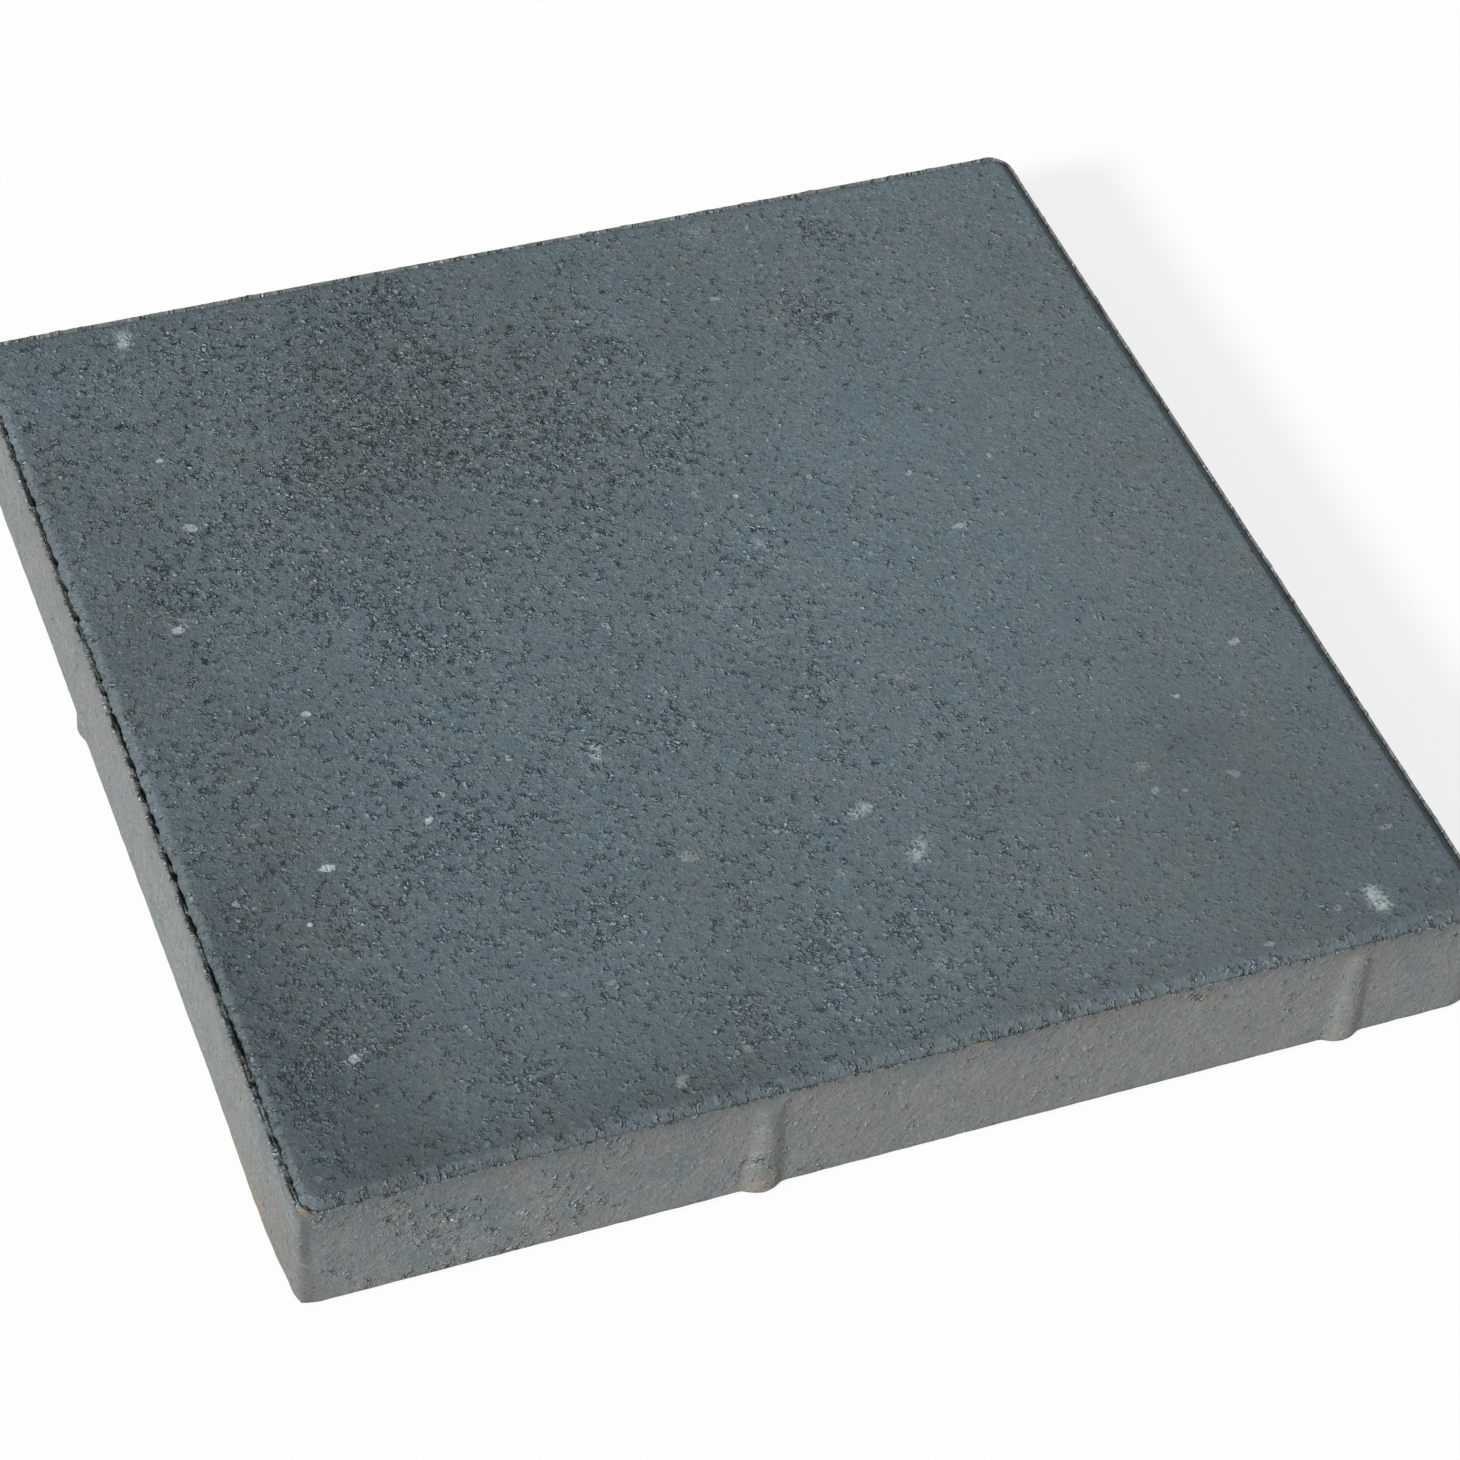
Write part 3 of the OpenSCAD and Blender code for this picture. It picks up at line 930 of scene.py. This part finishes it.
def paving_slab(low, high):
    """The slab's skin in one closed piece, from the walking face out over the rim, down the side
    faces and in over the bed."""
    thickness = (high[2] - low[2]) / MM
    body_half = (high[0] - low[0]) / MM / 2.0 - NIB_FOOT_PROUD
    skeleton_half = body_half - CORNER_RADIUS
    reach = CORNER_RADIUS - LEDGE_WIDTH - CHAMFER_RUN
    places, turns = side_stations(skeleton_half, 2 * FACE_SQUARES, 2 * CORNER_SQUARES)
    fine = Columns(places, turns, skeleton_half)
    coarse = Columns(places[::2], turns[::2], skeleton_half)
    skin = Skin(fine.girth)
    border = walking_face(skin, places[::2], CORNER_SQUARES, thickness, reach)
    wear = RimWear(fine)
    chamfer_ring, chamfer_foot = chamfer(skin, fine, wear, border, thickness, reach)
    arris = ledge(skin, fine, wear, chamfer_ring, chamfer_foot, thickness - CHAMFER_DROP)
    foot = side_faces(skin, coarse, arris)
    bed(skin, coarse, places[::4], CORNER_SQUARES // 2, foot, CORNER_RADIUS - BED_SHEET_INSET)
    return skin.piece("paving_slab")


# ---------------------------------------------------------------- finishes


class Finish:
    """The nodes of a material or of the sky, added step by step. Each step gives its output."""

    def __init__(self, owner):
        owner.use_nodes = True
        self.tree = owner.node_tree
        self.nodes = self.tree.nodes

    def feed(self, socket, value):
        """Links an output to a socket, or writes a plain number or colour on it."""
        if isinstance(value, bpy.types.NodeSocket):
            self.tree.links.new(value, socket)
        elif socket.type == "RGBA":
            socket.default_value = (*value, 1.0)
        else:
            socket.default_value = value

    def step(self, kind, inputs=(), **settings):
        """A new node of a kind, with its settings and with values fed to the named inputs."""
        node = self.nodes.new("ShaderNode" + kind)
        for setting, value in settings.items():
            setattr(node, setting, value)
        for socket, value in inputs:
            self.feed(node.inputs[socket], value)
        return node

    def mark(self, name, output="Fac"):
        """A mark of the skin."""
        return self.step("Attribute", attribute_name=name).outputs[output]

    def number(self, operation, *values):
        return self.step("Math", enumerate(values), operation=operation).outputs[0]

    def times(self, a, b):
        return self.number("MULTIPLY", a, b)

    def plus(self, a, b):
        return self.number("ADD", a, b)

    def weighed(self, value, weight, added):
        """`value` times `weight`, plus `added`."""
        return self.number("MULTIPLY_ADD", value, weight, added)

    def vector(self, operation, *values):
        node = self.step("VectorMath", enumerate(values), operation=operation)
        return node.outputs["Value" if operation == "LENGTH" else "Vector"]

    def turned(self, where, angle):
        """`where` turned about Z."""
        inputs = (("Vector", where), ("Angle", angle))
        return self.step("VectorRotate", inputs, rotation_type="Z_AXIS").outputs[0]

    def scaled(self, value, low, high, to_low=0.0, to_high=1.0, curve="LINEAR"):
        """`value` from low..high carried to to_low..to_high, held at the ends."""
        inputs = (("Value", value), ("From Min", low), ("From Max", high), ("To Min", to_low),
                  ("To Max", to_high))
        return self.step("MapRange", inputs, interpolation_type=curve).outputs["Result"]

    def noise(self, where, scale, detail, roughness, output="Fac"):
        """Noise over the unrolled skin, `scale` features to the metre."""
        inputs = (("Vector", where), ("Scale", scale), ("Detail", detail), ("Roughness", roughness))
        return self.step("TexNoise", inputs, noise_dimensions="2D").outputs[output]

    def cells(self, where, scale):
        """Irregular cells over the unrolled skin: distance from the cell's middle, and three
        random numbers of the cell."""
        inputs = (("Vector", where), ("Scale", scale))
        cell = self.step("TexVoronoi", inputs, voronoi_dimensions="2D")
        chance = self.step("SeparateColor", ((0, cell.outputs["Color"]),))
        return cell.outputs["Distance"], chance.outputs

    def blend(self, share, a, b):
        """Colour `a` with a share of colour `b` in its place."""
        return self.step("Mix", ((0, share), (6, a), (7, b)), data_type="RGBA").outputs[2]

    def shaded(self, colour, factor):
        """`colour` made lighter or darker by `factor`."""
        inputs = ((0, colour), ("Scale", factor))
        return self.step("VectorMath", inputs, operation="SCALE").outputs[0]

    def seen_directly(self):
        """1 for a ray from the camera, in a reflection or through glass, and 0 for light."""
        path = self.step("LightPath")
        shown = self.number("MAXIMUM", path.outputs["Is Camera Ray"], path.outputs["Is Glossy Ray"])
        return self.number("MAXIMUM", shown, path.outputs["Is Transmission Ray"])


# Colours of the facing, of the body concrete, of the grains and of the deposits, and the painted
# shade of the voids
FACING_BLUE = (0.105, 0.148, 0.172)
FACING_PLAIN = (0.106, 0.142, 0.159)
FACING_SANDY = (0.106, 0.130, 0.137)
BODY_BLUE = (0.158, 0.182, 0.189)
BODY_PLAIN = (0.181, 0.194, 0.190)
BODY_BROWN = (0.185, 0.182, 0.170)
GRAIN_WHITE = (0.375, 0.430, 0.445)
GRAIN_TAN = (0.180, 0.196, 0.194)
LIME = (0.33, 0.39, 0.40)
RUST = (0.35, 0.24, 0.12)
VOID_SHADE = (0.024, 0.048, 0.060)
WHITE = (1.0, 1.0, 1.0)

# Features to the metre of each layer of the concrete
CLOUDS = 55.0
TINTS = 150.0
LUMPS = 270.0
CRUMB_CELLS = 480.0
BENDS = 620.0
CRUMBS = 760.0
GRIT = 1300.0
SAND_CELLS = 1350.0

# How far the layers stand out, in millimetres
GRIT_RELIEF = 0.46
SAND_RELIEF = -0.22
CRUMB_RELIEF = (0.18, 3.6)
VOID_RELIEF = -0.45
LUMP_RELIEF = 0.42
GRAIN_RELIEF = 0.18


def concrete_finish():
    """Pressed concrete: a blue-grey facing with washed, sandy and dark patches, sand and stone
    grains and open texture, over warm grey side faces and bed.

    Two noises make the clusters of crumbs and the voids between them, cells give single crumbs and
    sand grains their shades, and the marks of the skin say where each of them is strong. The voids
    are darkened with painted shade, and the raised crumbs of the clusters are lightened with
    painted highlight."""
    concrete = bpy.data.materials.new("pressed_concrete")
    finish = Finish(concrete)
    shader = finish.nodes["Principled BSDF"]
    place = finish.mark("skin_place", "Vector")
    facing = finish.mark("facing")
    open_texture = finish.mark("open_texture")
    hollow = finish.mark("hollow")
    warmth = finish.mark("warmth")
    gloom = finish.mark("gloom")
    sharp = finish.scaled(finish.mark("worn"), -0.5, 1.0, 1.22, 0.50)

    # Places bent by up to a millimetre, so that no grain has a regular outline
    bend = finish.noise(place, BENDS, 1.0, 0.5, output="Color")
    bend = finish.vector("SUBTRACT", bend, (0.5, 0.5, 0.5))
    bent = finish.vector("MULTIPLY_ADD", bend, (0.0022, 0.0022, 0.0), place)

    # Clusters of crumbs with voids between them: many in the open texture, few where it is closed
    aslant = finish.turned(place, 0.6)
    cloud = finish.noise(aslant, CLOUDS, 4.0, 0.62)
    lumps = finish.noise(aslant, LUMPS, 2.0, 0.55)
    crumbs = finish.noise(bent, CRUMBS, 1.0, 0.50)
    crumb_chance = finish.cells(bent, CRUMB_CELLS)[1]
    sand, sand_chance = finish.cells(bent, SAND_CELLS)
    grit = finish.noise(place, GRIT, 1.0, 0.6)
    cluster = finish.weighed(open_texture, 0.20, lumps)
    # The hollow mark of pits, chips and the groove raises the clusters, and with them the painted
    # shade of the voids
    cluster = finish.scaled(finish.weighed(hollow, 0.16, cluster), 0.61, 0.83, curve="SMOOTHSTEP")
    level = finish.scaled(cluster, 0.0, 1.0, 0.25, 0.40)
    level = finish.weighed(facing, 0.04, finish.plus(level, -0.04))
    void_and_shade = finish.scaled(finish.number("SUBTRACT", crumbs, level), 0.06, -0.06, curve="SMOOTHSTEP")

    # Colour of the facing and of the body, blended where paste is smeared, under the gloom, which
    # holds dark patches and also painted shade and light on the chamfers, in the groove and at the
    # near corner
    tone = finish.plus(warmth, finish.scaled(cloud, 0.25, 0.75, -0.85, 0.85))
    tone = finish.weighed(crumb_chance[1], 0.16, finish.plus(tone, -0.08))
    tone = finish.weighed(cluster, 0.25, tone)
    face_colour = finish.blend(finish.scaled(tone, 0.0, -0.9), FACING_PLAIN, FACING_BLUE)
    face_colour = finish.blend(finish.scaled(tone, 0.1, 1.0), face_colour, FACING_SANDY)
    side_colour = finish.blend(finish.scaled(tone, 0.0, -0.9), BODY_PLAIN, BODY_BLUE)
    side_colour = finish.blend(finish.scaled(tone, 0.1, 1.1), side_colour, BODY_BROWN)
    colour = finish.blend(facing, side_colour, face_colour)
    tint = finish.noise(place, TINTS, 3.0, 0.6, output="Color")
    tint = finish.vector("MULTIPLY_ADD", tint, (0.13, 0.13, 0.13), (0.935, 0.935, 0.935))
    colour = finish.vector("MULTIPLY", colour, tint)
    colour = finish.shaded(colour, finish.scaled(gloom, 0.0, 2.0, 1.0, 0.20))

    # Shades of single crumbs and sand grains, and painted highlight on the raised crumbs of the
    # clusters
    contrast = finish.times(finish.scaled(cluster, 0.0, 1.0, 0.50, 2.80), sharp)
    sandy = finish.weighed(sand_chance[0], 0.50, -0.25)
    crumby = finish.weighed(crumb_chance[0], 0.24, -0.12)
    shade = finish.times(finish.plus(sandy, crumby), contrast)
    # Painted highlight: the raised crumbs of the clusters are lightened
    crumb_highlight = finish.times(finish.scaled(crumbs, 0.56, 0.68, curve="SMOOTHSTEP"), cluster)
    shade = finish.weighed(crumb_highlight, 0.98, shade)
    pale = finish.scaled(sand_chance[0], 0.84, 1.0)
    shade = finish.weighed(finish.times(pale, contrast), 0.80, shade)
    shade = finish.plus(shade, finish.scaled(cloud, 0.2, 0.8, 0.92, 1.10))
    colour = finish.shaded(colour, shade)
    # Painted shade in the voids between the crumbs
    colour = finish.blend(finish.scaled(void_and_shade, 0.0, 1.0, 0.0, 0.30), colour, VOID_SHADE)

    # Grains of stone that show in the skin
    grain = finish.vector("MULTIPLY_ADD", bend, (0.9, 0.9, 0.0), finish.mark("grain", "Vector"))
    grain = finish.scaled(finish.vector("LENGTH", grain), 1.08, 0.86)
    kind = finish.mark("grain_kind")
    grain_colour = finish.blend(finish.scaled(kind, 0.0, 0.6), GRAIN_WHITE, GRAIN_TAN)
    showing = finish.times(grain, finish.scaled(kind, 0.0, 1.0, 0.95, 0.45))
    colour = finish.blend(showing, colour, finish.shaded(grain_colour, finish.plus(sandy, 1.0)))

    # Lime that bloomed out of the pores, and tan stain
    powder = finish.weighed(sand_chance[2], 0.25, finish.weighed(finish.mark("lime"), 0.55, crumbs))
    bloom = finish.times(finish.mark("lime"), finish.scaled(powder, 0.80, 1.15))
    colour = finish.blend(bloom, colour, LIME)
    stain = finish.times(finish.mark("rust"), finish.scaled(crumbs, 0.38, 0.62, 0.15, 0.9))
    colour = finish.blend(stain, colour, RUST)
    finish.feed(shader.inputs["Base Color"], colour)

    roughness = finish.weighed(sand_chance[1], 0.12, finish.scaled(cluster, 0.0, 1.0, 0.74, 0.86))
    finish.feed(shader.inputs["Roughness"], roughness)
    shader.inputs["Specular IOR Level"].default_value = 0.35

    # Relief in millimetres, strongest in the clusters and where the face is sharp
    relief = finish.weighed(grit, GRIT_RELIEF, finish.times(sand, SAND_RELIEF))
    relief = finish.times(relief, contrast)
    swing = finish.times(finish.scaled(cluster, 0.0, 1.0, *CRUMB_RELIEF), sharp)
    relief = finish.weighed(finish.plus(crumbs, -0.5), swing, relief)
    relief = finish.weighed(void_and_shade, VOID_RELIEF, relief)
    relief = finish.weighed(lumps, LUMP_RELIEF, relief)
    relief = finish.weighed(grain, GRAIN_RELIEF, relief)
    bump = finish.step("Bump", (("Strength", 1.0), ("Distance", MM), ("Height", relief)))
    finish.feed(shader.inputs["Normal"], bump.outputs["Normal"])
    return concrete


def floor_finish():
    """Pale floor. The camera sees it as an even white, in which the slab's shadow stays."""
    pale_floor = bpy.data.materials.new("pale_floor")
    finish = Finish(pale_floor)
    shader = finish.nodes["Principled BSDF"]
    coordinates = finish.step("TexCoord")
    grain = finish.noise(coordinates.outputs["Object"], 60.0, 3.0, 0.5)
    seen = finish.seen_directly()
    plain = finish.blend(grain, (0.44, 0.44, 0.44), (0.48, 0.48, 0.48))
    finish.feed(shader.inputs["Base Color"], finish.blend(seen, plain, (0.94, 0.94, 0.94)))
    shader.inputs["Roughness"].default_value = 0.9
    shader.inputs["Specular IOR Level"].default_value = 0.1
    white = finish.step("Emission", (("Color", WHITE), ("Strength", 1.0)))
    inputs = ((0, finish.times(seen, 0.80)), (1, shader.outputs[0]), (2, white.outputs[0]))
    mixed = finish.step("MixShader", inputs)
    finish.feed(finish.nodes["Material Output"].inputs["Surface"], mixed.outputs[0])
    return pale_floor


# ---------------------------------------------------------------- stage, lights and camera

# Level of the even light from all round, and level, place and softness in degrees of the low
# lamp on the left
SKY_LEVEL = 0.36
LAMP_LEVEL = 1.30
LAMP_DIRECTION = (-0.75, -0.43, 0.50)
LAMP_SOFTNESS = 9.0

# The floor, in metres
FLOOR_CORNERS = ((-1, -1), (1, -1), (1, 1), (-1, 1))
FLOOR_HALF = 6.0
FLOOR_HEIGHT = -0.0002


def stage_floor():
    """A floor far wider than the slab, just under the bed."""
    corners = [(x * FLOOR_HALF, y * FLOOR_HALF, FLOOR_HEIGHT) for x, y in FLOOR_CORNERS]
    mesh = bpy.data.meshes.new("floor")
    mesh.from_pydata(corners, [], [(0, 1, 2, 3)])
    floor = placed("floor", mesh)
    mesh.materials.append(floor_finish())


def studio_light():
    """An even sky, white where it is seen, and one soft lamp from the left."""
    studio = bpy.data.worlds.new("studio")
    bpy.context.scene.world = studio
    sky = Finish(studio)
    background = sky.nodes["Background"]
    sky.feed(background.inputs["Color"], WHITE)
    level = sky.scaled(sky.seen_directly(), 0.0, 1.0, SKY_LEVEL, 1.0)
    sky.feed(background.inputs["Strength"], level)

    lamp_data = bpy.data.lights.new("left_lamp", "SUN")
    lamp_data.energy = LAMP_LEVEL * math.pi
    lamp_data.angle = math.radians(LAMP_SOFTNESS)
    lamp = placed("left_lamp", lamp_data)
    towards = -np.array(LAMP_DIRECTION)
    lamp.rotation_mode = "QUATERNION"
    lamp.rotation_quaternion = Matrix(look_axes(towards)).transposed().to_quaternion()


def look_axes(towards):
    """Right, up and back directions, as rows, of something that looks along `towards`."""
    back = -np.asarray(towards, float)
    back /= np.linalg.norm(back)
    right = np.cross([0.0, 0.0, 1.0], back)
    right /= np.linalg.norm(right)
    return [right.tolist(), np.cross(back, right).tolist(), back.tolist()]


# The camera looks down over the near corner: direction from the slab and roll in degrees,
# distance and place in metres, lens and sensor in millimetres, and the range it shows in metres
CAMERA_AZIMUTH = -25.19
CAMERA_ELEVATION = 46.20
CAMERA_ROLL = 5.985
CAMERA_DISTANCE = 1.4333
CAMERA_ASIDE = 0.01457
CAMERA_ABOVE = -0.00682
CAMERA_LENS = 102.55
CAMERA_SENSOR = 36.0
CAMERA_CLIP = (0.05, 50.0)


def camera():
    """A level camera turned by the roll about its own line of sight."""
    azimuth, elevation = math.radians(CAMERA_AZIMUTH), math.radians(CAMERA_ELEVATION)
    back = np.array([math.sin(azimuth) * math.cos(elevation),
                     -math.cos(azimuth) * math.cos(elevation), math.sin(elevation)])
    right, up, back = (np.array(axis) for axis in look_axes(-back))
    roll = math.radians(CAMERA_ROLL)
    rolled_right = math.cos(roll) * right + math.sin(roll) * up
    rolled_up = math.cos(roll) * up - math.sin(roll) * right
    data = bpy.data.cameras.new("camera")
    data.lens = CAMERA_LENS
    data.sensor_width = CAMERA_SENSOR
    data.clip_start, data.clip_end = CAMERA_CLIP
    viewer = placed("camera", data)
    turned = Matrix(np.column_stack([rolled_right, rolled_up, back]).tolist())
    viewer.rotation_mode = "QUATERNION"
    viewer.rotation_quaternion = turned.to_quaternion()
    viewer.location = (back * CAMERA_DISTANCE + rolled_right * CAMERA_ASIDE
                       + rolled_up * CAMERA_ABOVE)
    bpy.context.scene.camera = viewer


# ---------------------------------------------------------------- the scene

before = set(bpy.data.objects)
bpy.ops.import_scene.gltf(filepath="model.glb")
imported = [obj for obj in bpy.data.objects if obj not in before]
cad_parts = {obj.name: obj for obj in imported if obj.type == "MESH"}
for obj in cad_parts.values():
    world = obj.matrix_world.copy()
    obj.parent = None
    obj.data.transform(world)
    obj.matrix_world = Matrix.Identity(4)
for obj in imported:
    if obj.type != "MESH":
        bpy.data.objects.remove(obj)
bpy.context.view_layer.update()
camera()

slab = paving_slab(*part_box("slab"))
slab.data.materials.append(concrete_finish())
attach(slab, "root")
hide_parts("slab")

stage_floor()
studio_light()
bpy.context.scene.view_settings.view_transform = "Standard"
